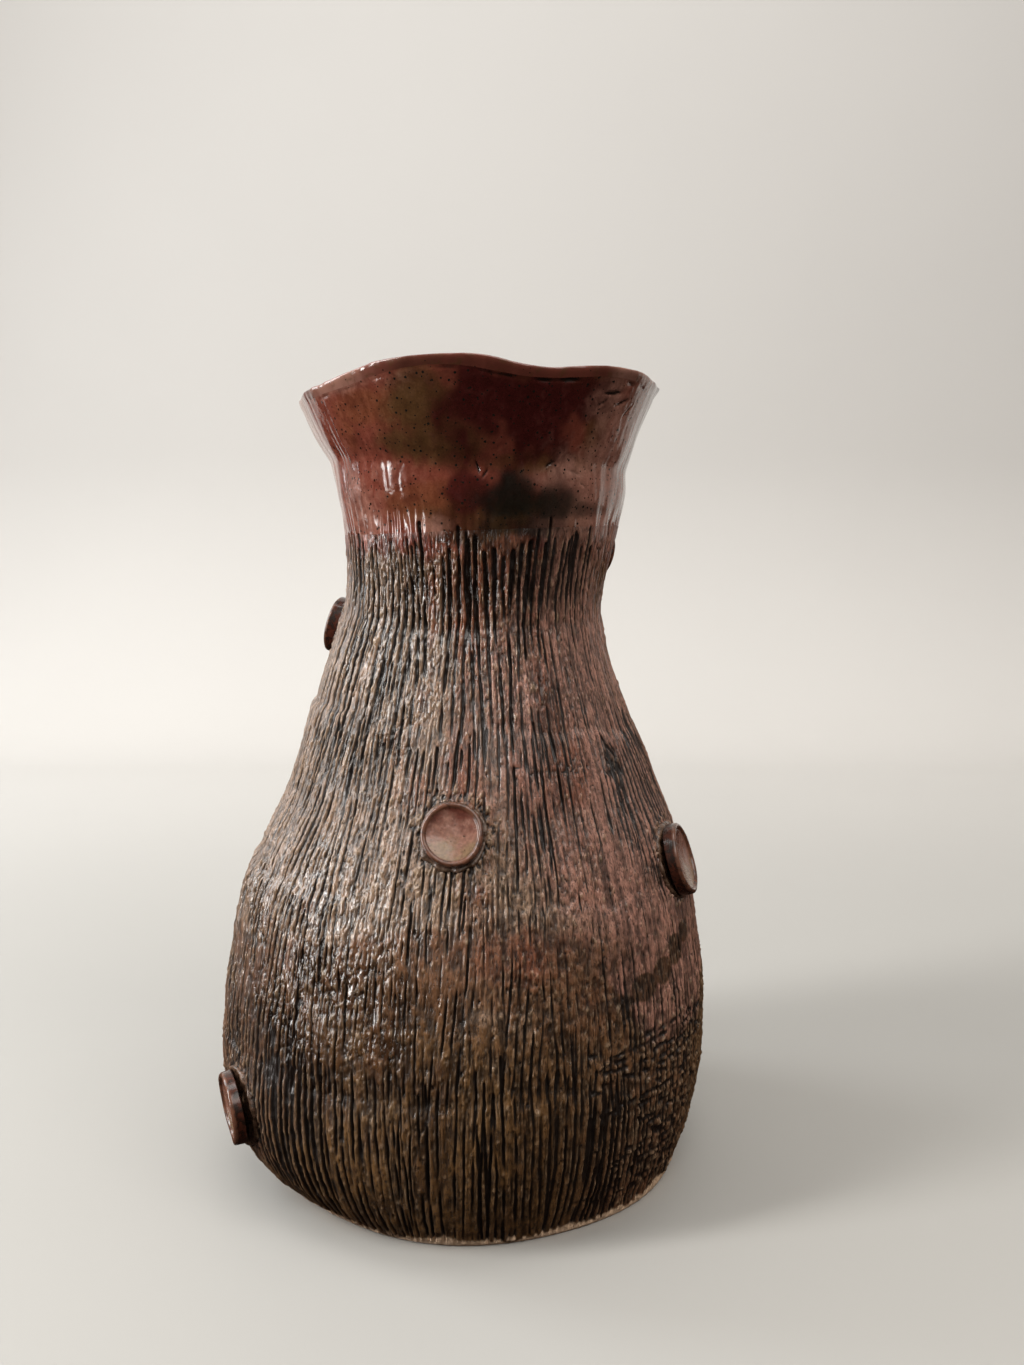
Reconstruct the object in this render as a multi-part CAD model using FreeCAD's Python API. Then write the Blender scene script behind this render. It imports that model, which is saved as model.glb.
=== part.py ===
"""Hand-built stoneware vase: coursed body, flared collar, rolled lip and dished discs.

The vase stands on z = 0 with its axis on +Z and its front facing -Y. Lengths are in
millimetres and angles in degrees. An azimuth is measured about +Z from +X, so the
front is at -90.
"""
import FreeCAD, Part
import math
import os
from FreeCAD import Vector

# Driving dimensions
RIM_HEIGHT = 295.5        # mean height of the lip's top
SLAB_THICKNESS = 9.0      # floor of the pot
LIP_HEIGHT = 3.6          # how far the rolled lip stands above the collar
LIP_SWELL = 0.5           # how far the lip bulges past the wall on each side
WALL_AT_FOOT = 8.0        # measured level, outside to inside
WALL_AT_RIM = 4.6
COURSE_SWELL = 0.45       # how far the middle of a course bulges past its seams
PRESS_SINK = 3.0          # how far a slip pad's cone starts inside the wall
PAD_STEP = 1.1            # slip showing around a disc, at the wall
PAD_HEIGHT = 0.9          # slip between the wall and a disc

# The outside: height, mean radius and sideways shift of the section's centre.
PROFILE = [
    (0.0, 79.2, -0.6),      # edge of the foot
    (14.0, 87.2, -3.4),     # turn above the foot
    (54.0, 94.4, -4.4),     # widest part of the belly
    (95.0, 89.6, -2.9),
    (119.0, 83.4, -2.4),    # shoulder
    (142.0, 73.6, -0.6),
    (180.0, 58.9, -1.4),
    (217.0, 48.8, 0.4),     # waist of the neck
    (243.0, 52.4, 2.6),     # foot of the collar
    (268.0, 57.4, 2.2),
    (284.0, 64.0, 1.3),
    (300.0, 72.0, 1.8),     # rim
]

# Slow hand-made unevenness: millimetres, waves per turn, phase, turn per millimetre of height.
UNEVENNESS = [
    (0.55, 2, 40.0, 0.5),
    (0.35, 3, 10.0, -0.9),
    (0.20, 5, 75.0, 1.3),
]

# Lobes of the wavy rim: azimuth, rise and half width.
RIM_LOBES = [
    (-101.0, 4.0, 17.0),
    (-71.0, -1.6, 12.0),
    (-45.0, 2.3, 16.0),
    (-128.0, -0.8, 14.0),
    (178.0, -4.6, 34.0),
    (62.0, 2.8, 24.0),
    (112.0, -1.8, 20.0),
]

# Lobes of the foot's edge, fading upwards: azimuth, reach and half width.
FOOT_LOBES = [
    (-131.0, -2.6, 14.0),
    (-90.0, 1.6, 16.0),
    (-40.0, 1.6, 14.0),
    (75.0, -1.4, 20.0),
]
FOOT_FADE = 12.0          # height over which they fade

# Seams between the courses of clay: height, tilt across the pot, azimuth of the high side.
SEAMS = {
    "foot": (56.0, 1.5, 160.0),
    "belly": (89.0, 2.0, 20.0),
    "upper_belly": (118.0, 2.5, 190.0),
    "shoulder": (148.0, 2.0, 60.0),
    "upper_shoulder": (174.0, 5.0, 185.0),
    "neck": (210.0, 2.0, 100.0),
    "upper_neck": (243.0, 2.0, 10.0),
    "collar": (267.0, 1.5, 150.0),
}
SCARF_DROP = 2.5          # a seam's inner edge is this much lower than its outer edge

# Discs: azimuth, height, radius, thickness and how far the face is turned aside from the wall.
DISCS = {
    "front_disc": (-93.5, 141.5, 10.6, 4.0, 0.0),
    "right_disc": (-23.5, 122.0, 13.0, 4.8, 7.0),
    "left_disc": (213.0, 36.5, 13.2, 4.2, -9.0),
    "neck_left_disc": (172.5, 205.5, 10.8, 5.0, 0.0),
    "neck_right_disc": (31.0, 235.0, 10.8, 4.8, 0.0),
    "back_low_disc": (138.0, 62.0, 12.6, 4.6, 3.0),
    "back_shoulder_disc": (64.0, 128.0, 11.8, 4.4, -4.0),
    "back_high_disc": (104.0, 186.0, 10.8, 4.4, 0.0),
}
DISH_SHARE = 0.80         # dish radius over disc radius
DISH_DEPTH = 1.5
DISC_EDGE = 0.8           # rounding of a disc's outer edge

# Modelling resolution
AZIMUTHS = 36             # points round each section
LEVELS = 4                # sections up each course
LIP_POINTS = 7            # sections round the lip's bead


def fitted_profile():
    """A curve through PROFILE whose parameter is the height, as (radius, shift, height)."""
    curve = Part.BSplineCurve()
    points = [Vector(radius, shift, z) for z, radius, shift in PROFILE]
    curve.interpolate(Points=points, Parameters=[z for z, _, _ in PROFILE])
    return curve


OUTSIDE = fitted_profile()


def wall_thickness(z):
    """Level wall thickness, thinning evenly from foot to rim."""
    return WALL_AT_FOOT + (WALL_AT_RIM - WALL_AT_FOOT) * z / RIM_HEIGHT


def lobes(azimuth, shapes):
    """The sum of smooth lobes round the pot, each (azimuth, size, half width)."""
    total = 0.0
    for centre, size, half_width in shapes:
        away = (azimuth - centre + 180.0) % 360.0 - 180.0
        total += size * math.exp(-0.5 * (away / half_width) ** 2)
    return total


def uneven(azimuth, z):
    """The hand-made unevenness of the outside at one place."""
    total = lobes(azimuth, FOOT_LOBES) * math.exp(-z / FOOT_FADE)
    for size, waves, phase, twist in UNEVENNESS:
        total += size * math.cos(math.radians(waves * azimuth - phase - twist * z))
    return total


def wall_point(azimuth, z, inwards=0.0):
    """A point of the outside at a height, moved level towards the section's centre."""
    at = OUTSIDE.value(z)
    radius = at.x + uneven(azimuth, z) - inwards
    angle = math.radians(azimuth)
    return Vector(at.y + radius * math.cos(angle), radius * math.sin(angle), z)


def rim_height(azimuth):
    """Height of the lip's top, with its lobes."""
    return RIM_HEIGHT + lobes(azimuth, RIM_LOBES)


def seam_line(name):
    """A seam as a function from azimuth to height."""
    height, tilt, high_side = SEAMS[name]
    return lambda azimuth: height + tilt * math.cos(math.radians(azimuth - high_side))


def slab_line(azimuth):
    """The top of the base slab, level all round."""
    return SLAB_THICKNESS


def collar_line(azimuth):
    """The top of the collar, under the lip."""
    return rim_height(azimuth) - LIP_HEIGHT


def closed_wire(points):
    """A smooth closed wire through points."""
    curve = Part.BSplineCurve()
    curve.interpolate(Points=points, PeriodicFlag=True)
    return Part.Wire(curve.toShape())


def around(point_at):
    """A closed wire through point_at(azimuth), all the way round."""
    step = 360.0 / AZIMUTHS
    return closed_wire([point_at(step * k) for k in range(AZIMUTHS)])


def outer_edge(line):
    return around(lambda azimuth: wall_point(azimuth, line(azimuth)))


def inner_edge(line, drop=SCARF_DROP):
    def point_at(azimuth):
        z = line(azimuth) - drop
        return wall_point(azimuth, z, wall_thickness(z))
    return around(point_at)


def sewn_solid(faces):
    """One solid from faces that share their edges."""
    shell = Part.Shell(faces)
    shell.sewShape()
    solid = Part.Solid(shell)
    if solid.Volume < 0:
        solid.reverse()
    return solid


def wall_course(bottom, top, bottom_drop=SCARF_DROP, top_drop=SCARF_DROP):
    """A ring of wall between two seams, a little swollen between them."""
    def between(azimuth, share):
        return bottom(azimuth) + (top(azimuth) - bottom(azimuth)) * share

    def outer_wire(share):
        swell = COURSE_SWELL * math.sin(math.pi * share)
        return around(lambda azimuth: wall_point(azimuth, between(azimuth, share), -swell))

    def inner_wire(share):
        drop = bottom_drop + (top_drop - bottom_drop) * share
        return inner_edge(lambda azimuth: between(azimuth, share), drop)

    shares = [k / (LEVELS - 1) for k in range(LEVELS)]
    outers = [outer_wire(share) for share in shares]
    inners = [inner_wire(share) for share in shares]
    faces = []
    faces += Part.makeLoft(outers, False, False).Faces
    faces += Part.makeLoft(inners, False, False).Faces
    faces += Part.makeLoft([outers[0], inners[0]], False, True).Faces
    faces += Part.makeLoft([outers[-1], inners[-1]], False, True).Faces
    return sewn_solid(faces)


def base_slab():
    """The floor: a flat round slab whose edge carries on the outside."""
    levels = [SLAB_THICKNESS * k / (LEVELS - 1) for k in range(LEVELS)]
    edges = [around(lambda azimuth, z=z: wall_point(azimuth, z)) for z in levels]
    return Part.makeLoft(edges, True, False)


def lip_coil():
    """The rolled bead that closes the rim."""
    def bead_wire(share):
        turn = math.pi * share
        spread = math.cos(turn) * (1.0 + 2.0 * LIP_SWELL / WALL_AT_RIM * math.sin(turn))

        def point_at(azimuth):
            seat = collar_line(azimuth)
            wall = wall_thickness(seat)
            rise = LIP_HEIGHT * math.sin(turn)
            outer = wall_point(azimuth, seat)
            lean = (wall_point(azimuth, seat + rise) - outer)
            inner = wall_point(azimuth, seat - SCARF_DROP, wall_thickness(seat - SCARF_DROP))
            middle = (outer + inner) * 0.5
            return middle + (outer - inner) * (0.5 * spread) + lean
        return around(point_at)

    wires = [bead_wire(k / (LIP_POINTS - 1)) for k in range(LIP_POINTS)]
    bead = Part.makeLoft(wires, False, False).Faces
    seat = Part.makeLoft([wires[0], wires[-1]], False, True).Faces
    return sewn_solid(bead + seat)


def wall_frame(azimuth, z):
    """The outside's point and outward normal at a place."""
    step = 2.0
    upward = wall_point(azimuth, z + step) - wall_point(azimuth, z - step)
    across = wall_point(azimuth + step, z) - wall_point(azimuth - step, z)
    return wall_point(azimuth, z), across.cross(upward).normalize()


def disc(azimuth, z, radius, thickness, turn):
    """A thick round disc with a pressed dish, lying on its slip pad."""
    blank = Part.makeCylinder(radius, thickness)
    top_edges = [edge for edge in blank.Edges if edge.BoundBox.ZMin > thickness * 0.5]
    blank = blank.makeFillet(DISC_EDGE, top_edges)
    dish = radius * DISH_SHARE
    ball = (dish ** 2 + DISH_DEPTH ** 2) / (2.0 * DISH_DEPTH)
    centre = Vector(0, 0, thickness - DISH_DEPTH + ball)
    sideways = Vector(1, 0, 0)
    pressed = blank.cut(Part.makeSphere(ball, centre, sideways))
    return placed(pressed.Solids[0], azimuth, z, PAD_HEIGHT, turn)


def placed(shape, azimuth, z, out, turn):
    """A shape modelled along +Z, stood on the wall, moved out and turned about the vertical."""
    foot, normal = wall_frame(azimuth, z)
    normal = FreeCAD.Rotation(Vector(0, 0, 1), turn).multVec(normal)
    result = shape.copy()
    result.Placement = FreeCAD.Placement(
        foot + normal * out, FreeCAD.Rotation(Vector(0, 0, 1), normal)
    )
    return result


def slip_pad(azimuth, z, radius, turn, courses):
    """The slip under a disc: a low cone from the disc's back to the wall."""
    rise = PRESS_SINK + PAD_HEIGHT
    slope = PAD_STEP / PAD_HEIGHT
    cone = Part.makeCone(radius + slope * rise, radius, rise)
    pad = placed(cone, azimuth, z, -PRESS_SINK, turn)
    for course in courses:
        if course.BoundBox.intersect(pad.BoundBox):
            pad = pad.cut(course)
    return max(pad.Solids, key=lambda solid: solid.Volume)


def build():
    """Every node by name."""
    lines = {name: seam_line(name) for name in SEAMS}
    nodes = {"base_slab": base_slab()}
    nodes["foot_course"] = wall_course(slab_line, lines["foot"], bottom_drop=0.0)
    nodes["belly_course"] = wall_course(lines["foot"], lines["belly"])
    nodes["upper_belly_course"] = wall_course(lines["belly"], lines["upper_belly"])
    nodes["shoulder_course"] = wall_course(lines["upper_belly"], lines["shoulder"])
    nodes["upper_shoulder_course"] = wall_course(lines["shoulder"], lines["upper_shoulder"])
    nodes["neck_course"] = wall_course(lines["upper_shoulder"], lines["neck"])
    nodes["upper_neck_course"] = wall_course(lines["neck"], lines["upper_neck"])
    nodes["collar_band"] = wall_course(lines["upper_neck"], lines["collar"])
    nodes["collar_flare"] = wall_course(lines["collar"], collar_line)
    courses = list(nodes.values())
    nodes["lip_coil"] = lip_coil()
    pads = []
    for name, (azimuth, z, radius, thickness, turn) in DISCS.items():
        nodes[name] = disc(azimuth, z, radius, thickness, turn)
        pads.append(slip_pad(azimuth, z, radius, turn, courses))
    nodes["slip_pads"] = Part.Compound(pads)
    return nodes


def main():
    os.makedirs("parts", exist_ok=True)
    for name, shape in build().items():
        volume = sum(solid.Volume for solid in shape.Solids)
        print(f"{name}: {len(shape.Solids)} solid(s), {volume / 1000:.1f} cm3, valid {shape.isValid()}")
        shape.exportStep(f"parts/{name}.step")


main()
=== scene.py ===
"""Looks of the hand-built stoneware vase.

The outside of the CAD wall is read into a raster, one column per azimuth and one row per
level. Comb marks, burrs and glaze colours are drawn into rasters of the same size, and each
course of clay becomes a fine closed mesh cut out of them, so neighbours meet exactly.
Lengths are millimetres until a mesh is made. Azimuths are degrees from +X, so the front is -90.
"""

import math

import bpy
import numpy as np
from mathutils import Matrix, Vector
from mathutils.bvhtree import BVHTree


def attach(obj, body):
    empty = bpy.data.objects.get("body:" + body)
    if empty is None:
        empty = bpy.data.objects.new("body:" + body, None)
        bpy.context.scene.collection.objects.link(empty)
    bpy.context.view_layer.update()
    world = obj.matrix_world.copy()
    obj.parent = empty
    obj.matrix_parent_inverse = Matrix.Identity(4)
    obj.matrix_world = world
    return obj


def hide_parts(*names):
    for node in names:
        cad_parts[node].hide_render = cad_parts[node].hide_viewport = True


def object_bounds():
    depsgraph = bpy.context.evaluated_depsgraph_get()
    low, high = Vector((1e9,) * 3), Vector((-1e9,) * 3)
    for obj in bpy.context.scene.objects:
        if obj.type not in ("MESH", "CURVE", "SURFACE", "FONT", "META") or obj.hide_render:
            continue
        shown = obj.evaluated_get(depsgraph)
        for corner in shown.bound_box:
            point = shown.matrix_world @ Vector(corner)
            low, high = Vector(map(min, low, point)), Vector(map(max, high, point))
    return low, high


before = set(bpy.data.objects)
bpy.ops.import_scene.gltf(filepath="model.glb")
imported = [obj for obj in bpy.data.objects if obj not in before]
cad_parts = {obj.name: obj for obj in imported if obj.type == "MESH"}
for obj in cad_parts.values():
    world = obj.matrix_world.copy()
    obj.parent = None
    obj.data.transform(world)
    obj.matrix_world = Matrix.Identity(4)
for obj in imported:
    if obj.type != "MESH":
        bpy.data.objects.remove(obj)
cad_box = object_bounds()

# ---------------- sizes
MM = 0.001
COURSES = [
    "foot_course", "belly_course", "upper_belly_course", "shoulder_course",
    "upper_shoulder_course", "neck_course", "upper_neck_course", "collar_band", "collar_flare",
]
WALL = ["base_slab"] + COURSES
DISCS = [
    "front_disc", "right_disc", "left_disc", "neck_left_disc", "neck_right_disc",
    "back_low_disc", "back_shoulder_disc", "back_high_disc",
]

COLUMNS = 1920          # raster columns round the wall
LEVEL_STEP = 0.5        # between raster rows
ROW_STEP = 0.64         # between mesh rows
SAMPLED_AZIMUTHS = 180  # azimuths at which the CAD wall is read
HARMONICS = 16          # waves per turn kept from the CAD wall
LEVEL_BLUR = 3.0        # rows over which the CAD wall is smoothed
SCARF_DROP = 2.5        # a seam's inner edge is this much lower than its outer edge
INNER_ROWS = 6          # mesh rows inside a course
FLAT_RINGS = [0.1, 0.4, 0.7, 0.92]  # rings of the slab's flat faces, as shares of its radius
MOST_ROWS = 45          # most mesh rows outside a course
LIP_ROWS = 25
LIP_SWELL = 0.45
LIP_LEAN = 0.42         # how far the lip leans out for each millimetre it rises
LIP_STATIONS = 72       # azimuths at which the CAD lip's height is read
DISC_SEGMENTS = 160
DISH_SHARE = 0.83       # a dish's radius as a share of its disc's
DISH_DEPTH_SHARE = 0.46  # its depth as a share of the disc's thickness
UV_STRIPS = 4           # the turn is cut into this many strips in a texture
UV_FILL = 0.97          # share of its strip that a surface fills

ABOVE_RIM = 4.0         # how far the raster goes on above the rim
LEVELS = np.arange(0.0, cad_box[1][2] / MM + ABOVE_RIM, LEVEL_STEP)
AZIMUTHS = np.arange(COLUMNS) * 360.0 / COLUMNS
UP = LEVELS[:, None]
SHAPE = (len(LEVELS), COLUMNS)
SEED = 7

FOOT_START = 10.0       # strokes that start below this level start sharply, at the foot
# Comb passes up the wall: lowest and highest level, and how far an end strays.
PASSES = [(1.5, 66.0, 1.0), (57.0, 118.0, 7.0), (108.0, 172.0, 7.0), (163.0, 240.5, 3.0)]
TEETH = 5
TOOTH_PITCH = 2.9
OVERLAP = 1.18          # strokes of the comb for each one that would just fit round
TOOTH_REACH = 2.6       # how far from a tooth's line its groove and burrs are drawn
GROOVE_WIDTH = 0.36
GROOVE_DEPTH = 0.95
BURR_HEIGHT = 0.45
BURR_GAP = 0.16         # between a groove's side and the top of its burr
BURR_WIDTH = 0.27
SCRATCH_DEPTH = 0.28
CORNER_ROUND = 0.5      # how far the foot's lowest edge is rounded in


# ---------------- reading the CAD wall
def wall_tree():
    """The CAD wall as one ray-cast tree, and which course owns each face."""
    points, faces, owner = [], [], []
    for index, name in enumerate(WALL):
        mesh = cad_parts[name].data
        start = len(points)
        points += [vertex.co.copy() for vertex in mesh.vertices]
        faces += [[start + corner for corner in face.vertices] for face in mesh.polygons]
        owner += [index] * len(mesh.polygons)
    return BVHTree.FromPolygons(points, faces), owner


def sampled_wall(tree, owner):
    """Outer radius, inner radius and owning course at each level and sampled azimuth."""
    outer = np.full((len(LEVELS), SAMPLED_AZIMUTHS), np.nan)
    inner = outer.copy()
    course = np.full(outer.shape, -1)
    for column in range(SAMPLED_AZIMUTHS):
        angle = 2.0 * math.pi * column / SAMPLED_AZIMUTHS
        outward = Vector((math.cos(angle), math.sin(angle), 0.0))
        for row, level in enumerate(LEVELS):
            axis_point = Vector((0.0, 0.0, max(level, 0.05) * MM))
            spot, _, face, _ = tree.ray_cast(axis_point + outward, -outward, 1.0)
            if spot is None:
                continue
            outer[row, column] = (spot - axis_point).length / MM
            course[row, column] = owner[face]
            spot, _, face, _ = tree.ray_cast(axis_point, outward)
            if owner[face] > 0:
                inner[row, column] = (spot - axis_point).length / MM
    return outer, inner, course


def carried_up(values):
    """Levels above the rim filled by carrying the wall's slope on."""
    run = 12   # rows over which the slope is taken
    for column in values.T:
        last = np.flatnonzero(~np.isnan(column))[-1]
        slope = (column[last] - column[last - run]) / run
        column[last + 1:] = column[last] + slope * np.arange(1, len(column) - last)
    return values


def round_the_pot(values):
    """Samples round the pot turned into a smooth curve with a value for every column."""
    spectrum = np.fft.rfft(values, axis=-1)[..., :HARMONICS + 1] / values.shape[-1]
    waves = np.exp(1j * np.outer(np.arange(HARMONICS + 1), np.radians(AZIMUTHS)))
    waves[1:] *= 2.0
    return (spectrum @ waves).real


def blurred_levels(values, rows):
    """A raster smoothed up and down, with its ends held."""
    reach = int(3 * rows)
    weights = np.exp(-0.5 * (np.arange(-reach, reach + 1) / rows) ** 2)
    weights /= weights.sum()
    padded = np.concatenate([values[:1].repeat(reach, 0), values, values[-1:].repeat(reach, 0)])
    return sum(w * padded[k:k + len(values)] for k, w in enumerate(weights))


def seam_lines(course):
    """The level of each course's top edge at every column, keyed by its name."""
    lines = {}
    for index, name in enumerate(WALL):
        tops = [LEVELS[np.flatnonzero(column == index)[-1]] for column in course.T]
        lines[name] = round_the_pot(np.array(tops) + LEVEL_STEP / 2.0)
    lines["base_slab"][:] = lines["base_slab"].mean()
    return lines


tree, owner = wall_tree()
sampled_outer, sampled_inner, sampled_course = sampled_wall(tree, owner)
SEAMS = seam_lines(sampled_course)
OUTER = blurred_levels(round_the_pot(carried_up(sampled_outer)), LEVEL_BLUR)
measured = sampled_outer - sampled_inner
known = ~np.isnan(measured).all(axis=1)
thickness = np.nanmean(measured[known], axis=1)
WALL_THICKNESS = np.polyval(np.polyfit(LEVELS[known], thickness, 1), LEVELS)
ARC = OUTER.mean(axis=1) * math.pi / 180.0   # millimetres per degree at each level


# ---------------- drawing on the wall
def noise(round_size, up_size, number):
    """The numbered smooth random unevenness with this grain, of unit spread."""
    white = np.random.default_rng(SEED + number).standard_normal(SHAPE)
    column_size = ARC.mean() * 360.0 / COLUMNS
    up = np.fft.fftfreq(SHAPE[0])[:, None] * up_size / LEVEL_STEP
    across = np.fft.fftfreq(SHAPE[1])[None, :] * round_size / column_size
    kept = np.exp(-2.0 * (math.pi ** 2) * (up ** 2 + across ** 2))
    smooth = np.fft.ifft2(np.fft.fft2(white) * kept).real
    return smooth / smooth.std()


WARP = noise(5.0, 5.0, 0) + 0.5 * noise(1.8, 1.8, 8)


def degrees_from(azimuth):
    """Signed degrees from an azimuth to every column."""
    return (AZIMUTHS - azimuth + 180.0) % 360.0 - 180.0


def falling(value):
    """1 well below zero, a half at it and 0 well above it."""
    return 0.5 - 0.5 * np.tanh(0.5 * value)


def patch(azimuth, level, wide, tall, edge, ragged):
    """A soft ragged-edged oval on the wall, 1 inside; wide and tall are half sizes."""
    across = degrees_from(azimuth)[None, :] * ARC[:, None] / wide
    up = (UP - level) / tall
    away = np.hypot(across, up) + ragged * WARP
    return falling((away - 1.0) / edge * 4.0)


def painted(edge, ragged, patches):
    """The strongest of several patches, each (azimuth, level, half width, half height, strength)."""
    field = np.zeros(SHAPE)
    for azimuth, level, wide, tall, strength in patches:
        field = np.maximum(field, strength * patch(azimuth, level, wide, tall, edge, ragged))
    return field


def swell(level, wide):
    """1 at a level, fading over wide above and below it."""
    return np.exp(-((UP - level) / wide) ** 2)


def lobe(azimuth, wide):
    """1 at an azimuth, fading over wide degrees on either side."""
    return np.exp(-0.5 * (degrees_from(azimuth) / wide) ** 2)


def band(low, high, soft):
    """1 between two levels, fading over soft, round the whole pot."""
    return np.clip((UP - low) / soft + 0.5, 0, 1) * np.clip((high - UP) / soft + 0.5, 0, 1)


def stamp(field, azimuth, level, length, width, turn, size, edge=2.0):
    """Presses one oval mark into a field, turned clockwise from upright. edge is its sharpness."""
    reach = 1.5 * max(length, width)
    rows = np.flatnonzero(np.abs(LEVELS - level) < reach)
    if not len(rows):
        return
    arc = ARC[rows[len(rows) // 2]]
    centre = azimuth * COLUMNS / 360.0
    span = reach / arc * COLUMNS / 360.0
    columns = np.arange(int(centre - span), int(centre + span) + 1)
    across = ((columns - centre) * 360.0 / COLUMNS * arc)[None, :]
    up = (LEVELS[rows] - level)[:, None]
    angle = math.radians(turn)
    along = up * math.cos(angle) + across * math.sin(angle)
    aside = across * math.cos(angle) - up * math.sin(angle)
    mark = size * np.exp(-(along / length) ** 4 - np.abs(aside / width) ** edge)
    place = np.ix_(rows, columns % COLUMNS)
    field[place] = np.maximum(field[place], mark)


def wandering(random, levels, knot, low, high):
    """A random value that changes smoothly along a stroke, with a new one every knot."""
    count = max(int((levels[-1] - levels[0]) / knot), 1) + 2
    return np.interp(
        levels, levels[0] + knot * np.arange(count), random.uniform(low, high, count)
    )


def tooth_mark(random, azimuth, low, high, drift, depth):
    """One tooth of the comb drawn up the wall: a groove with ragged burrs along it."""
    rows = np.arange(max(int(low / LEVEL_STEP), 1), min(int(high / LEVEL_STEP), len(LEVELS)))
    levels = LEVELS[rows]
    fade_in = 1.5 if low < FOOT_START else 6.0
    ends = np.clip((levels - low) / fade_in, 0, 1) * np.clip((high - levels) / 1.6, 0, 1)
    loose = ROUGH[rows[len(rows) // 2], int(azimuth * COLUMNS / 360.0) % COLUMNS]
    wiggle = 0.2 + 0.4 * loose
    aside = drift * (levels - low) + wandering(random, levels, 15.0, -wiggle, wiggle)
    aside += wandering(random, levels, 2.4, -0.13, 0.13)
    centre = (azimuth + aside / ARC[rows]) * COLUMNS / 360.0
    column_size = ARC[rows] * 360.0 / COLUMNS
    span = int(TOOTH_REACH / column_size.min()) + 1
    columns = np.floor(centre).astype(int)[:, None] + np.arange(-span, span + 1)
    offset = (columns - centre[:, None]) * column_size[:, None]
    away = np.abs(offset)
    place = rows[:, None], columns % COLUMNS
    bold = BOLD[rows, np.round(centre).astype(int) % COLUMNS]
    skips = bold + wandering(random, levels, 6.5, -0.95, 0.75)
    press = ends * (0.35 + 0.65 * bold) * skips.clip(0.0, 1.0)
    width = GROOVE_WIDTH * (0.75 + 0.66 * bold ** 2) * wandering(random, levels, 8.0, 0.75, 1.3)
    cut = depth * press[:, None] * np.exp(-(away / width[:, None]) ** 2.6)
    crumbs = press * wandering(random, levels, 1.3, -0.8, 1.5).clip(0.45 - 0.35 * min(loose, 1.0))
    beside = (away - 1.35 * width[:, None] - BURR_GAP) / BURR_WIDTH
    leaning = np.where(offset < 0.0, 1.0, 0.5)
    ridge = BURR_HEIGHT * crumbs[:, None] * leaning * np.exp(-beside ** 2)
    CARVED[place] = np.maximum(CARVED[place], cut)
    BURRS[place] = np.maximum(BURRS[place], ridge)


def comb_pass(random, low, high, stray):
    """Comb strokes side by side round the pot between two levels."""
    uniform, normal = random.uniform, random.normal
    middle = int((low + high) / 2.0 / LEVEL_STEP)
    girth = ARC[middle] * 360.0
    strokes = int(girth / (TEETH * TOOTH_PITCH) * OVERLAP)
    for azimuth in random.permutation(strokes) * 360.0 / strokes:
        azimuth += normal(0.0, 1.2)
        start = low + uniform(-stray, stray)
        end = high + uniform(-3.0, 4.0) * (1.0 + stray / 4.0) * 0.6
        drift = normal(0.0, 0.035)
        depth = GROOVE_DEPTH * uniform(0.7, 1.25)
        for tooth in range(TEETH):
            aside = (tooth - (TEETH - 1) / 2.0) * TOOTH_PITCH + normal(0.0, 0.25)
            tooth_mark(
                random, azimuth + aside / ARC[middle],
                start + normal(0.0, 1.5) * (low > FOOT_START),
                end + normal(0.0, 3.1), drift, depth * uniform(0.55, 1.25),
            )


def scattered(field, random, count, where, size, rise):
    """Small marks pressed into a field, most where the raster called where is high."""
    pressed = 0
    while pressed < count:
        row = random.integers(4, SHAPE[0] - 4)
        column = random.integers(COLUMNS)
        if random.random() > where[row, column] * ARC[row] / ARC.max():
            continue
        pressed += 1
        width = size * random.uniform(0.6, 1.35)
        stamp(
            field, AZIMUTHS[column], LEVELS[row], width * random.uniform(0.9, 1.9), width,
            random.normal(0.0, 25.0), rise * random.uniform(0.4, 1.2), 3.5,
        )


# How boldly the comb bites, and how rough the clay between its marks is.
COMBED = band(1.0, 248.0, 2.0)
BOLD = (
    0.86 + 0.16 * noise(16.0, 22.0, 1) + 0.35 * band(218.0, 250.0, 8.0)
    + painted(0.35, 0.16, [
        (-138, 38, 48, 40, 0.42), (-125, 84, 26, 26, 0.1), (-118, 214, 20, 30, 0.2),
        (-26, 146, 26, 30, 0.6),
    ])
    - painted(0.35, 0.16, [
        (-80, 62, 24, 30, 0.2), (-66, 102, 22, 20, 0.2), (-122, 230, 17, 13, 0.4),
        (-104, 185, 5.0, 8.5, 0.95), (-67, 191, 5.5, 9.0, 0.95), (-108, 77, 5.0, 9.0, 0.8),
        (-47, 190, 6, 9, 0.5), (-36, 171, 7, 8, 0.6), (-52, 127, 14, 14, 0.15),
        (-38, 106, 26, 28, 0.28),
    ])
).clip(0.04, 1.6)
ROUGH = (
    0.30 + 0.12 * noise(12.0, 14.0, 2)
    + painted(0.35, 0.16, [
        (-130, 128, 42, 50, 0.75), (-122, 205, 24, 36, 0.6), (-112, 68, 46, 46, 0.3),
        (-92, 124, 28, 15, 0.75), (-40, 36, 36, 30, 0.8), (-74, 128, 22, 16, 0.6),
        (-76, 60, 34, 40, 0.45), (-84, 196, 20, 26, 0.5),
        (120, 120, 60, 60, 0.5), (60, 190, 30, 40, 0.5), (20, 60, 40, 30, 0.5),
    ])
).clip(0.05, 1.3)

CARVED = np.zeros(SHAPE)
BURRS = np.zeros(SHAPE)
LUMPS = np.zeros(SHAPE)


def draw_comb_marks():
    """All the passes of the comb."""
    random = np.random.default_rng(SEED + 10)
    for low, high, stray in PASSES:
        comb_pass(random, low, high, stray)


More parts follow.
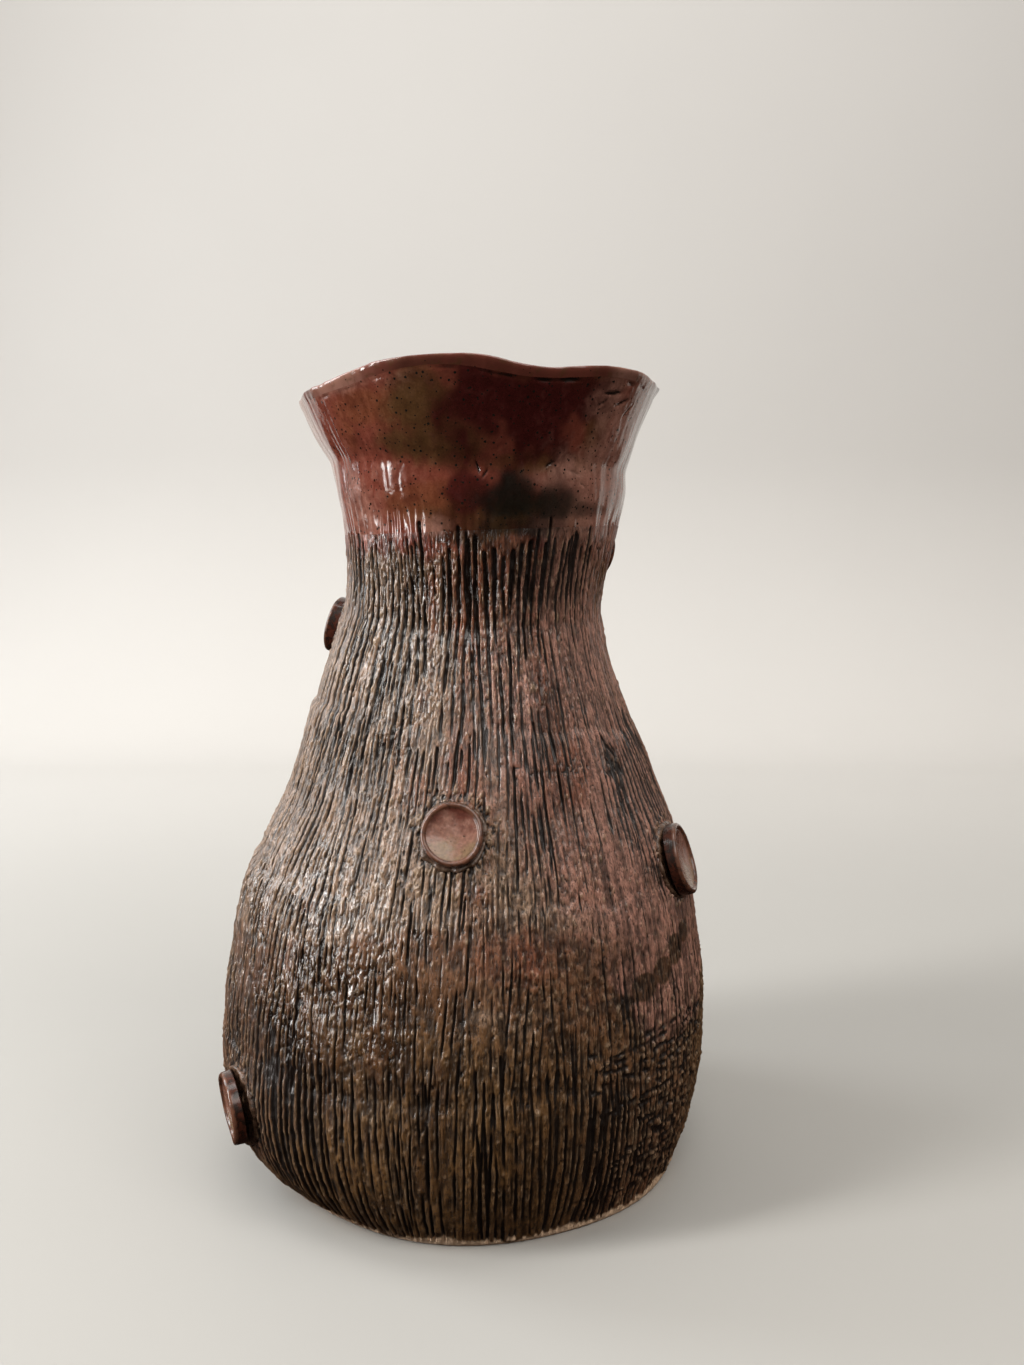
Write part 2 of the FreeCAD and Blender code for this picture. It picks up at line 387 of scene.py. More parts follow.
def draw_cross_marks():
    """Scratches across the comb marks: a few on the right shoulder, and a basket below."""
    random = np.random.default_rng(SEED + 11)
    uniform, normal = random.uniform, random.normal
    stamp(LUMPS, -58.0, 65.6, 7.0, 0.5, 68.0, 0.7)
    stamp(CARVED, -58.0, 64.3, 8.0, 0.4, 68.0, 0.6)
    for azimuth in np.arange(-82.0, -50.0, 1.5):
        level, length = normal(161.0, 1.3), uniform(0.5, 1.5)
        stamp(CARVED, azimuth, level, length, 0.4, normal(90.0, 20.0), uniform(0.2, 0.8))
    for _ in range(26):
        azimuth, level, length = normal(-40.0, 2.0), normal(158.0, 6.0), uniform(1.0, 2.8)
        stamp(CARVED, azimuth, level, length, 0.5, normal(-20.0, 15.0), uniform(0.5, 1.0))
    for level in np.arange(11.0, 70.0, 3.1):
        for azimuth in np.arange(-62.0, -6.0, 3.4):
            if random.random() < 0.82 * math.exp(-0.5 * ((azimuth + 34.0) / 16.0) ** 2) + 0.04:
                stamp(
                    CARVED, azimuth + normal(0.0, 1.0), level + normal(0.0, 0.5),
                    uniform(1.6, 4.2), 0.75, normal(90.0, 9.0), uniform(0.4, 0.85),
                )
                stamp(
                    LUMPS, azimuth + normal(0.0, 1.2), level + normal(1.5, 0.5),
                    uniform(0.6, 1.5), uniform(0.45, 0.8), normal(90.0, 25.0),
                    uniform(0.5, 1.0), 3.0,
                )


def cad_points(name):
    """A CAD node's vertices."""
    return np.array([vertex.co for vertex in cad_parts[name].data.vertices]) / MM


def crumbs_round_disc(random, name):
    """Crumbs and pits where a disc was pressed into the wall."""
    uniform = random.uniform
    points = cad_points(name)
    centre = (points.min(axis=0) + points.max(axis=0)) / 2.0
    radius = np.ptp(points[:, 2]) / 2.0
    azimuth = math.degrees(math.atan2(centre[1], centre[0]))
    arc = ARC[int(centre[2] / LEVEL_STEP)]
    for field, count, spread, size in [(LUMPS, 110, 1.7, 0.95), (CARVED, 110, 1.3, 0.8)]:
        for _ in range(count):
            angle = uniform(0.0, 2.0 * math.pi)
            away = radius + 0.4 + random.exponential(spread)
            stamp(
                field, azimuth + away * math.cos(angle) / arc, centre[2] + away * math.sin(angle),
                uniform(0.4, 1.0), uniform(0.3, 0.65), uniform(0.0, 90.0),
                size * uniform(0.4, 1.0), 3.0,
            )


def draw_crumbs():
    """Crumbs and pits over the body, a patch of them in front, and more round discs and foot."""
    random = np.random.default_rng(SEED + 12)
    uniform, normal = random.uniform, random.normal
    rough_body = ROUGH * band(6.0, 236.0, 4.0)
    scattered(LUMPS, random, 9500, rough_body, 0.36, 0.42)
    scattered(LUMPS, random, 420, rough_body ** 2, 0.62, 0.6)
    scattered(CARVED, random, 6500, rough_body, 0.34, 0.5)
    for _ in range(44):
        stamp(
            LUMPS, normal(-99.0, 4.5), normal(131.0, 4.0), uniform(0.6, 1.3),
            uniform(0.4, 0.8), uniform(0.0, 90.0), uniform(0.6, 1.2), 3.0,
        )
    for name in DISCS:
        crumbs_round_disc(random, name)
    for azimuth in np.arange(0.0, 360.0, 2.6):
        stamp(
            LUMPS, azimuth + normal(0.0, 0.8), uniform(1.2, 3.4),
            uniform(0.5, 1.1), uniform(0.5, 1.1), 0.0, uniform(0.3, 0.8), 3.0,
        )


def ledges():
    """The steps where a course of clay stands proud of the one above it."""
    steps = np.zeros(SHAPE)
    shares = {
        "foot_course": [(186, 0.45, 34), (-75, 0.3, 40)],
        "upper_belly_course": [(190, 1.1, 30), (-60, 0.4, 40), (80, 0.8, 30)],
        "upper_shoulder_course": [(192, 1.3, 26), (-55, 0.55, 34), (100, 0.7, 30)],
        "neck_course": [(-110, 0.4, 40), (60, 0.7, 40)],
    }
    for name, lobes in shares.items():
        size = 0.2 + sum(share * lobe(azimuth, wide) for azimuth, share, wide in lobes)
        up = UP - SEAMS[name][None, :] - 0.9 * WARP
        lower = np.exp(np.minimum(up, 0.0) / 9.0) * (up <= 0.0)
        upper = np.exp(-np.maximum(up, 0.0) / 7.0) * (up > 0.0)
        steps += size[None, :] * (0.55 * lower - 0.45 * upper)
    return blurred_levels(steps, 2.0)


def collar_form():
    """Finger-smoothed bands and dents of the collar."""
    fade = np.clip((UP - 236.0) / 8.0, 0, 1)
    crease = SEAMS["collar_band"][None, :] - 1.0 + 1.2 * noise(30.0, 200.0, 20)
    form = -0.45 * swell(crease, 3.6) + 0.2 * swell(crease + 9.0, 5.0)
    form += 0.3 * swell(256.0, 5.0) - 0.15 * swell(247.5, 3.4)
    form += 0.30 * noise(11.0, 9.0, 21) + 0.12 * noise(3.0, 7.0, 22)
    form += (0.045 + 0.13 * band(239.0, 249.0, 5.0)) * noise(1.0, 6.0, 24)
    return form * fade


def collar_marks():
    """Small folds, cracks and the seam under the lip."""
    marks = np.zeros(SHAPE)
    for azimuth, level, length, turn, depth in [
        (-87, 263.5, 2.2, -20, 0.5), (-84.5, 261.5, 1.6, 35, 0.45), (-62, 265.0, 2.4, 60, 0.5),
        (-52, 262.5, 3.6, 105, 0.3), (-48, 258.5, 2.2, 120, 0.3), (-44, 289.0, 4.2, 82, 0.75),
        (-38, 286.5, 3.6, 68, 0.6), (-33, 284.0, 3.0, 40, 0.45), (-47, 285.5, 2.6, 60, 0.4),
    ]:
        stamp(marks, azimuth, level, length, 0.42, turn, depth)
    below = UP - SEAMS["collar_flare"][None, :]
    strength = 0.25 + 0.75 * lobe(-58, 20.0)
    ragged = (0.75 + 0.45 * noise(2.5, 50.0, 23)).clip(0.1)
    seam = 0.7 * strength * ragged * np.exp(-((below + 0.7 + 0.25 * WARP) / 0.55) ** 2)
    return np.maximum(marks, seam)


draw_comb_marks()
draw_cross_marks()
draw_crumbs()
CARVED *= COMBED
open_ground = (1.0 - CARVED / 0.45).clip(0, 1)
GRAIN = 0.07 * noise(0.4, 0.6, 3) + 0.09 * noise(0.35, 3.5, 4)
GRAIN += 0.05 * noise(0.75, 0.95, 7) * (band(-20.0, 112.0, 16.0) + 0.4)
combed_twice = (0.6 + 0.5 * noise(9.0, 12.0, 9)).clip(0, 1) * (0.5 + ROUGH)
SCRATCHES = (noise(0.28, 8.0, 13) - 0.7).clip(0, 1.2) * combed_twice * band(1.0, 238.0, 4.0)
RAISED = np.maximum(BURRS * (0.45 + 0.9 * ROUGH) * open_ground, LUMPS * (0.4 + 0.6 * open_ground))
body_form = 0.42 * noise(17.0, 20.0, 5) + 0.1 * noise(5.0, 9.0, 6) + ledges()
RELIEF = body_form * band(4.0, 244.0, 12.0) + collar_form()
COLLAR_MARKS = collar_marks()
GRAIN *= (0.5 + 0.8 * ROUGH) * band(1.0, 240.0, 3.0)
RELIEF += RAISED + GRAIN - CARVED - COLLAR_MARKS
RELIEF -= SCRATCH_DEPTH * SCRATCHES
RELIEF = RELIEF * np.clip(UP / 3.0, 0.3, 1) - CORNER_ROUND * np.clip(1.0 - UP, 0, 1) ** 2


# ---------------- surfaces
def cylinder_points(radius, levels):
    """Points round the axis, given the radius for every column."""
    angles = np.radians(AZIMUTHS)
    flat = np.broadcast_to(levels, radius.shape)
    return np.stack([radius * np.cos(angles), radius * np.sin(angles), flat], axis=-1)


def raster_normals(points):
    """Outward unit normals of a raster of points, rows upwards and columns round."""
    round_step = np.roll(points, -1, axis=1) - np.roll(points, 1, axis=1)
    up_step = np.gradient(points, axis=0)
    normals = np.cross(round_step, up_step)
    return normals / np.linalg.norm(normals, axis=-1, keepdims=True)


smooth_points = cylinder_points(OUTER, UP)
SKIN = smooth_points + raster_normals(smooth_points) * RELIEF[..., None]
SKIN_NORMALS = raster_normals(SKIN)
INSIDE_FORM = 0.35 * noise(24.0, 7.0, 30)
INSIDE = cylinder_points(OUTER - WALL_THICKNESS[:, None] + INSIDE_FORM, UP)
INSIDE_NORMALS = -raster_normals(INSIDE)


def at_levels(field, levels):
    """A raster read at a level for each column; levels has one row per mesh row."""
    place = np.clip(levels / LEVEL_STEP, 0, SHAPE[0] - 1.001)
    low = place.astype(int)
    share = place - low
    columns = np.arange(COLUMNS)
    if field.ndim == 3:
        share = share[..., None]
    return field[low, columns] * (1.0 - share) + field[low + 1, columns] * share


# ---------------- glaze colours on the wall
# Where the paler upper glaze stops running down the pot: azimuths and levels.
RUN_AZIMUTHS = [-160, -135, -110, -85, -70, -58, -46, -25, 20, 70, 120, 160]
RUN_LEVELS = [69, 91, 112, 116, 109, 90, 66, 64, 84, 70, 92, 78]

# Patches of glaze on the combed body, then on the collar, some partly painted sheen, highlight and shade
# as noted
# below: how soft and how ragged their edges are, and the azimuth, level, half width, half height and
# strength of each patch.
ON_BODY = {
    # Paler tan glaze; the big patches on the lit left shoulder are also partly painted sheen.
    "tan": (0.9, 0.16, [
        (-132, 140, 60, 60, 1.0), (-100, 120, 34, 26, 0.8), (-122, 210, 26, 38, 0.95),
        (-76, 122, 30, 18, 0.55), (150, 130, 90, 70, 0.85), (60, 150, 70, 50, 0.5),
    ]),
    # A painted highlight: two small pale spots low in front.
    "tan_highlight_spots": (0.6, 0.3, [(-86, 86, 7, 4, 0.6), (-78, 80, 5, 4, 0.4)]),
    # Mauve glaze; on the right side of the body it is also painted sheen.
    "mauve": (0.9, 0.16, [
        (-38, 168, 44, 54, 0.95), (-30, 104, 34, 50, 0.95), (-44, 214, 22, 28, 0.8),
        (-56, 130, 26, 30, 0.6), (10, 160, 50, 70, 0.7), (-132, 92, 18, 20, 0.35),
        (-46, 84, 24, 22, 0.9),
    ]),
    "low_mauve": (0.9, 0.16, [(-144, 62, 44, 46, 0.25)]),
    "smear": (0.3, 0.09, [
        (-58, 83.5, 11, 2.2, 0.8), (-47, 86, 6.5, 4.5, 1.0), (-40, 89, 6, 4.8, 1.0),
        (-33.5, 94, 5.5, 5.2, 1.0), (-27, 98, 5.5, 4.2, 1.0),
    ]),
    "no_olive": (0.9, 0.16, [(-148, 60, 44, 60, 0.75), (130, 60, 50, 60, 0.5)]),
    # Dark umber glaze; the two patches low on the left, at -132 and -112, are painted shade.
    "umber": (0.8, 0.16, [
        (-132, 74, 50, 36, 0.72), (-112, 88, 26, 12, 0.55), (-58, 36, 40, 26, 0.3),
        (-60, 162, 20, 4, 0.35), (-88, 178, 12, 14, 0.3), (170, 60, 40, 30, 0.3),
        (-72, 172, 26, 30, 0.3), (-40, 158, 4, 8, 0.6),
    ]),
    "rust": (0.8, 0.16, [
        (-84, 222, 20, 22, 0.8), (-76, 192, 22, 30, 0.75), (-67, 189, 6, 9, 1.0),
        (-104, 185, 5, 8, 0.5), (-78, 164, 34, 30, 0.85), (-80, 104, 26, 10, 0.6),
        (-64, 128, 24, 16, 0.3), (-60, 84, 20, 10, 0.35), (-108, 76, 6, 9, 0.4),
        (-56, 60, 10, 8, 0.3), (110, 215, 40, 30, 0.7),
    ]),
    "maroon": (0.8, 0.16, [(-84, 232, 30, 8, 0.8), (-72, 206, 6, 16, 0.6)]),
    "wet": (1.0, 0.16, [
        (-118, 216, 24, 40, 1.0), (-124, 100, 36, 32, 0.9), (-116, 160, 24, 34, 0.3),
    ]),
}
ON_COLLAR = {
    "rust": (0.8, 0.16, [
        (-124, 284, 16, 7, 1.0), (-103, 250, 17, 11, 1.0), (-136, 276, 6, 6, 0.9),
        (60, 262, 60, 26, 0.9), (150, 270, 40, 20, 0.7),
    ]),
    "oxblood": (0.8, 0.16, [
        (-110, 263, 24, 4.0, 1.0), (-122, 271, 12, 8, 0.8), (-144, 268, 10, 26, 0.6),
        (-88, 250, 10, 8, 0.5), (100, 275, 40, 14, 0.6), (-168, 262, 14, 26, 0.5),
    ]),
    "collar_olive": (0.8, 0.16, [
        (-104, 283, 12, 10, 1.0), (-99, 272, 18, 8, 1.0), (-47, 277, 6, 9, 0.8),
        (-66, 265, 26, 3.5, 0.8), (-78, 246, 28, 7.5, 1.0), (-60, 292, 26, 2.5, 0.7),
        (20, 270, 20, 18, 0.7), (-170, 285, 16, 8, 0.6), (110, 284, 26, 9, 0.7),
    ]),
    "maroon": (0.7, 0.3, [
        (-74, 281, 26, 14, 1.0), (-88, 255, 10, 7, 0.85), (-62, 286, 22, 8, 0.9),
        (-66, 241, 7, 6, 0.7), (-88, 266, 14, 6, 0.6), (80, 278, 30, 12, 0.7),
        (-95, 246, 9, 7, 0.6),
    ]),
    "ink": (0.85, 0.12, [
        (-75, 253, 10.5, 8, 1.0), (-62, 252, 9, 5.5, 0.9), (-44, 250, 14, 2.4, 0.6),
        (-72, 244, 14, 4, 0.7),
    ]),
    # Mauve glaze on the collar; its broad patches at the far left (-172, -141) and right (-28) are also
    # painted sheen, and the strip along the rim at -140 is a painted highlight on the lip.
    "collar_mauve_and_sheen": (0.8, 0.16, [
        (-28, 278, 19, 32, 0.95), (-28, 256, 27, 26, 0.95), (-53, 259, 15, 5, 0.85),
        (-172, 270, 16, 34, 0.8), (-48, 244, 14, 4, 0.8), (160, 262, 30, 30, 0.5),
        (-141, 250, 12, 14, 0.6), (-106, 244, 7, 3.5, 0.7), (-122, 262, 12, 4, 0.3),
        (-140, 292, 28, 4, 0.75), (-45, 284, 5, 10, 0.5),
    ]),
}


def upper_glaze():
    """1 where the paler upper glaze lies, ending below in a ragged line."""
    line = np.interp(AZIMUTHS, RUN_AZIMUTHS, RUN_LEVELS, period=360.0)
    above = UP - line[None, :] + 2.6 * WARP + 2.5 * noise(12.0, 60.0, 44)
    return falling(-above / 1.1)


def body_share():
    """1 on the body's glaze and 0 on the collar's, which hangs lower in front."""
    meeting = 236.0 + 2.2 * noise(3.0, 400.0, 45) + 1.5 * noise(30.0, 400.0, 46)
    meeting -= 8.0 * np.exp(-(degrees_from(-93.0) / 9.0) ** 2)
    return falling((UP - meeting) / 1.4)


def clay_edge():
    """The bare clay that shows in a ragged line along the foot."""
    top = 2.9 + 1.2 * noise(2.6, 400.0, 47)
    return np.clip((top - UP) / 0.7 + 0.5, 0, 1) + 0.9 * band(-5.0, 5.5, 1.2) * (LUMPS > 0.12)


def glaze_masks():
    """How much of each glaze colour lies where, from 0 to 1. Tan and the mauves are partly painted
    sheen, umber partly painted shade.
    """
    on_body = {name: painted(*look) for name, look in ON_BODY.items()}
    upper = upper_glaze()
    body = body_share()
    smear = on_body["smear"]
    masks = {name: (1.0 - body) * painted(*look) for name, look in ON_COLLAR.items()}

    rust = on_body["rust"] * (0.85 + 0.25 * noise(3.0, 26.0, 43)).clip(0, 1.2) * body
    rust = (rust + masks["rust"]).clip(0, 1)
    # Tan is raised all round the upturned shoulder, 112 to 214 mm up: paler glaze, and partly painted
    # sheen.
    tan = on_body["tan"] + 0.3 * band(112.0, 214.0, 34.0) + 0.14 * noise(15.0, 18.0, 40)
    tan = tan.clip(0, 1) * upper + on_body["tan_highlight_spots"] - smear
    mauve = (on_body["mauve"] + 0.12 * noise(34.0, 30.0, 42)) * upper
    mauve += on_body["low_mauve"] - smear
    olive = (0.8 + 0.25 * noise(26.0, 20.0, 41) - 0.8 * upper).clip(0, 1)
    return {
        **masks, "collar": 1.0 - body, "wet": on_body["wet"], "clay": clay_edge().clip(0, 1),
        "olive": olive * body * (1.0 - on_body["no_olive"]),
        "tan": tan.clip(0, 1) * body * (1.0 - 0.6 * rust),
        "mauve": mauve.clip(0, 1) * body, "rust": rust,
        "umber": (smear + on_body["umber"]).clip(0, 1),
        "maroon": (masks["maroon"] + 0.5 * body * on_body["maroon"]).clip(0, 1),
    }


MASKS = glaze_masks()
MASKS["carved"] = CARVED + COLLAR_MARKS + 0.3 * SCRATCHES
MASKS["raised"] = (RAISED / 0.5).clip(0, 1)
MASKS["grain"] = (0.5 + (GRAIN + 0.3 * RAISED) / 0.6).clip(0, 1)


# ---------------- node materials
def rgb(red, green, blue):
    """A colour given as it looks on screen, 0 to 255, as linear light."""
    def linear(value):
        share = value / 255.0
        return share / 12.92 if share <= 0.04045 else ((share + 0.055) / 1.055) ** 2.4
    return (linear(red), linear(green), linear(blue), 1.0)


UMBER = rgb(64, 42, 27)
BROWN = rgb(104, 72, 51)
OLIVE = rgb(97, 70, 40)
# TAN and MAUVE are glaze colours; where their masks lie on the lit shoulder, the right side and the
# lip's left, they are also painted sheen and highlight.
TAN = rgb(125, 101, 81)
MAUVE = rgb(156, 113, 98)
RUST = rgb(116, 65, 43)
OXBLOOD = rgb(118, 60, 47)
MAROON = rgb(60, 18, 18)
DARK_OLIVE = rgb(86, 60, 35)
INK = rgb(24, 24, 20)
GROOVE = rgb(22, 15, 11)
CREAM = rgb(156, 131, 104)
# The bare clay on the foot's edge, lighter than the underside's clay: partly its own colour, partly
# painted light for the dim foot.
PAINTED_LIGHT_BARE_CLAY = rgb(228, 196, 164)
INNER_GLAZE = rgb(74, 42, 30)
COAT_ROUGHNESS = 0.12


class NodeWriter:
    """Writes a node tree in short steps. Sizes are in millimetres."""

    def __init__(self, tree):
        self.tree = tree
        self.coordinates = self.node("TexCoord")
        self.place = self.coordinates["Object"]

    def put(self, value, socket):
        """Links an output to a socket, or sets the socket's value."""
        if isinstance(value, bpy.types.NodeSocket):
            self.tree.links.new(value, socket)
        else:
            socket.default_value = value

    def node(self, kind, inputs=None, **settings):
        """The outputs of a new node with these settings and inputs."""
        node = self.tree.nodes.new("ShaderNode" + kind)
        for name, value in settings.items():
            setattr(node, name, value)
        for key, value in (inputs or {}).items():
            self.put(value, node.inputs[key])
        return node.outputs

    def attribute(self, name):
        return self.node("Attribute", attribute_name=name)["Fac"]

    def noise(self, size, detail=3.0, tall=1.0, distortion=0.0):
        """Noise of the given grain, stretched upright by tall."""
        squeeze = {"Vector": self.place, "Scale": (1.0, 1.0, 1.0 / tall)}
        return self.node("TexNoise", {
            "Vector": self.node("Mapping", squeeze)["Vector"], "Scale": 1.0 / (size * MM),
            "Detail": detail, "Distortion": distortion,
        })["Fac"]

    def cells(self, size, output):
        return self.node("TexVoronoi", {"Vector": self.place, "Scale": 1.0 / (size * MM)})[output]

    def math(self, operation, first, second):
        return self.node("Math", {0: first, 1: second}, operation=operation)["Value"]

    def ramp(self, value, start, end, low=0.0, high=1.0):
        """value taken smoothly from start..end to low..high."""
        span = {"From Min": start, "From Max": end, "To Min": low, "To Max": high}
        return self.node("MapRange", {"Value": value, **span}, interpolation_type="SMOOTHSTEP")["Result"]

    def mix(self, share, first, second, blend_type="MIX"):
        return self.node(
            "Mix", {"Factor": share, "A": first, "B": second}, data_type="RGBA", blend_type=blend_type,
        )["Result"]

    def laid(self, colour, tint, value, start, end, most=1.0):
        """A tint laid over a colour: none of it where value is at start, most at end."""
        return self.mix(self.ramp(value, start, end, 0.0, most), colour, tint)

    def scaled(self, colour, factor):
        """A colour made lighter or darker by a factor."""
        grey = self.node("CombineColor", {0: factor, 1: factor, 2: factor})["Color"]
        return self.mix(1.0, colour, grey, "MULTIPLY")

    def shaded(self, colour, value, dark, light):
        """A colour scaled from dark to light by a noise."""
        return self.scaled(colour, self.ramp(value, 0.3, 0.7, dark, light))

    def bump(self, height, depth, strength, under=None):
        """A bumped normal, laid over the one under it."""
        inputs = {"Strength": strength, "Distance": depth * MM, "Height": height}
        if under is not None:
            inputs["Normal"] = under
        return self.node("Bump", inputs)["Normal"]

    def specked(self, colour, tint, spacing, radius, share):
        """Round specks of a tint scattered over a colour, in that share of the places for one."""
        shade = self.node("SeparateColor", {"Color": self.cells(spacing, "Color")})["Red"]
        size = radius / spacing
        dot = self.ramp(self.cells(spacing, "Distance"), size * 0.6, size, 1.0, 0.0)
        chosen = self.math("MULTIPLY", dot, self.math("LESS_THAN", shade, share))
        return self.mix(chosen, colour, tint)


class Glaze(NodeWriter):
    """One material in the making."""

    def __init__(self, name):
        self.material = bpy.data.materials.new(name)
        self.material.use_nodes = True
        super().__init__(self.material.node_tree)

    def finish(self, colour, roughness, normal, coat=0.0):
        surface = self.tree.nodes["Principled BSDF"]
        for name, value in {
            "Base Color": colour, "Roughness": roughness, "Normal": normal,
            "Coat Weight": coat, "Coat Roughness": COAT_ROUGHNESS,
        }.items():
            self.put(value, surface.inputs[name])
        return self.material


# The wall's colours from the lowest up: mask, colour and how much of it there is at most.
# Tan, mauve, umber and collar mauve also carry painted sheen and shade where their masks say.
WALL_LAYERS = [
    ("olive", OLIVE, 0.95), ("tan", TAN, 0.9), ("mauve", MAUVE, 0.9), ("rust", RUST, 0.9),
    ("umber", UMBER, 0.85), ("oxblood", OXBLOOD, 0.9), ("collar_olive", DARK_OLIVE, 0.95),
    ("maroon", MAROON, 0.95), ("collar_mauve_and_sheen", MAUVE, 0.8), ("ink", INK, 0.95),
]


def layered(glaze, ragged, start, end):
    """The wall's glaze colours, some partly painted sheen and shade, laid over its base, with edges
    broken up by ragged noise.

    Each colour sets in where its mask passes start and is full at end.
    """
    colour = glaze.mix(glaze.attribute("collar"), BROWN, OXBLOOD)
    for name, tint, most in WALL_LAYERS:
        edge = glaze.math("ADD", glaze.attribute(name), ragged)
        colour = glaze.laid(colour, tint, edge, start, end, most)
    return colour


def combed_glaze():
    """The body: a thin glaze that breaks light on the ridges and pools dark in the comb marks."""
    g = Glaze("combed_glaze")
    fine = g.noise(0.5, 4.0, 2.0)
    mottle = g.noise(2.4, 4.0, 2.6, 0.6)
    broad = g.noise(11.0, 3.0, 2.0)
    scratched = g.ramp(g.noise(0.42, 3.0, 12.0, 0.3), 0.54, 0.64)
    ragged = g.math("MULTIPLY", g.math("SUBTRACT", mottle, 0.5), 0.7)
    colour = layered(g, ragged, 0.14, 0.78)
    colour = g.laid(colour, UMBER, broad, 0.42, 0.72, 0.42)
    colour = g.laid(colour, UMBER, mottle, 0.5, 0.75, 0.5)
    colour = g.shaded(colour, fine, 0.8, 1.15)
    colour = g.scaled(colour, g.ramp(g.attribute("grain"), 0.2, 0.78, 0.4, 1.42))
    worn = g.math("MULTIPLY", g.attribute("raised"), g.ramp(fine, 0.3, 0.6, 0.4, 0.9))
    colour = g.mix(worn, colour, CREAM)
    colour = g.mix(g.math("MULTIPLY", scratched, 0.6), colour, GROOVE)
    colour = g.laid(colour, GROOVE, g.attribute("carved"), 0.12, 0.52, 0.97)
    # The bare clay along the foot, painted lighter to stand in for light.
    colour = g.mix(g.attribute("clay"), colour, PAINTED_LIGHT_BARE_CLAY)
    dry = g.math("SUBTRACT", g.math("ADD", mottle, g.attribute("clay")), g.attribute("wet"))
    roughness = g.ramp(dry, -0.6, 1.3, 0.14, 0.7)
    normal = g.bump(g.math("SUBTRACT", fine, scratched), 0.22, 0.9, g.bump(mottle, 0.3, 0.3))
    return g.finish(colour, roughness, normal, g.ramp(g.attribute("wet"), 0.0, 1.0, 0.38, 1.0))


def collar_glaze():
    """The collar: a thick glossy glaze, rust to oxblood, with iron specks and pinholes."""
    g = Glaze("collar_glaze")
    fine = g.noise(0.7, 3.0)
    mottle = g.noise(3.2, 5.0, 1.3, 0.8)
    broad = g.noise(9.0, 3.0)
    ragged = g.math("MULTIPLY", g.math("SUBTRACT", mottle, 0.5), 0.6)
    colour = layered(g, ragged, 0.0, 1.0)
    colour = g.laid(colour, MAROON, broad, 0.5, 0.75, 0.35)
    colour = g.shaded(colour, mottle, 0.8, 1.15)
    colour = g.shaded(colour, fine, 0.88, 1.1)
    colour = g.specked(colour, INK, 2.4, 0.55, 0.6)
    colour = g.specked(colour, INK, 1.5, 0.34, 0.5)
    colour = g.laid(colour, GROOVE, g.attribute("carved"), 0.05, 0.45, 0.97)
    colour = g.mix(g.math("MULTIPLY", g.attribute("raised"), 0.45), colour, TAN)
    roughness = g.ramp(mottle, 0.3, 0.75, 0.1, 0.22)
    normal = g.bump(fine, 0.05, 0.5, g.bump(g.noise(4.5, 2.0), 0.6, 0.45))
    return g.finish(colour, roughness, normal, 0.4)


def lip_glaze():
    """The lip: glaze run thin on the edge, so the clay shows pinkish through it."""
    g = Glaze("lip_glaze")
    fine = g.noise(0.7, 3.0)
    mottle = g.noise(3.0, 4.0, 1.0, 0.5)
    broad = g.noise(16.0, 2.0)
    colour = g.laid(rgb(112, 60, 49), rgb(86, 48, 38), broad, 0.35, 0.65)
    # The collar's pale mauve carried onto the lip; on its left it is a painted highlight.
    colour = g.laid(colour, MAUVE, g.attribute("collar_mauve_and_sheen"), 0.1, 0.8)
    colour = g.laid(colour, DARK_OLIVE, mottle, 0.5, 0.7, 0.5)
    worn = g.math("MULTIPLY", g.attribute("crest"), g.ramp(mottle, 0.35, 0.65, 0.0, 0.5))
    colour = g.mix(worn, colour, MAUVE)
    colour = g.specked(colour, INK, 2.0, 0.3, 0.4)
    roughness = g.ramp(mottle, 0.3, 0.75, 0.1, 0.24)
    normal = g.bump(fine, 0.06, 0.4, g.bump(mottle, 0.3, 0.4))
    return g.finish(colour, roughness, normal, 0.4)


def disc_glaze():
    """The discs: in the dish red-brown above and olive below, painted shade above and painted light
    below over the glaze's mottled tone; dark round the side, partly painted shadow.
    """
    g = Glaze("disc_glaze")
    fine = g.noise(0.6, 3.0)
    mottle = g.noise(2.2, 4.0, 1.0, 0.6)
    blotch = g.math("MULTIPLY", g.noise(5.0, 3.0, 1.0, 0.4), 2.4)
    # Height across the dish, broken up by blotches; it sets the painted shade at the dish's top and the
    # painted light at its bottom.
    tilt = g.math("ADD", g.attribute("upness"), blotch)
    dish = g.laid(rgb(122, 98, 74), rgb(134, 96, 82), tilt, 0.4, 1.2)
    dish = g.laid(dish, rgb(92, 50, 40), tilt, 1.25, 2.1)
    dish = g.shaded(dish, g.noise(1.1, 4.0), 0.78, 1.15)
    edge = g.laid(rgb(106, 70, 54), rgb(56, 35, 26), mottle, 0.4, 0.7)
    colour = g.mix(g.attribute("dish"), edge, dish)
    # The side's dark brown is partly painted shadow round the disc.
    side = g.laid(rgb(76, 40, 29), rgb(34, 22, 17), mottle, 0.35, 0.65)
    colour = g.mix(g.attribute("side"), colour, side)
    colour = g.specked(colour, UMBER, 1.6, 0.28, 0.45)
    roughness = g.ramp(mottle, 0.3, 0.75, 0.14, 0.32)
    normal = g.bump(fine, 0.06, 0.5, g.bump(mottle, 0.25, 0.4))
    return g.finish(colour, roughness, normal, 0.25)


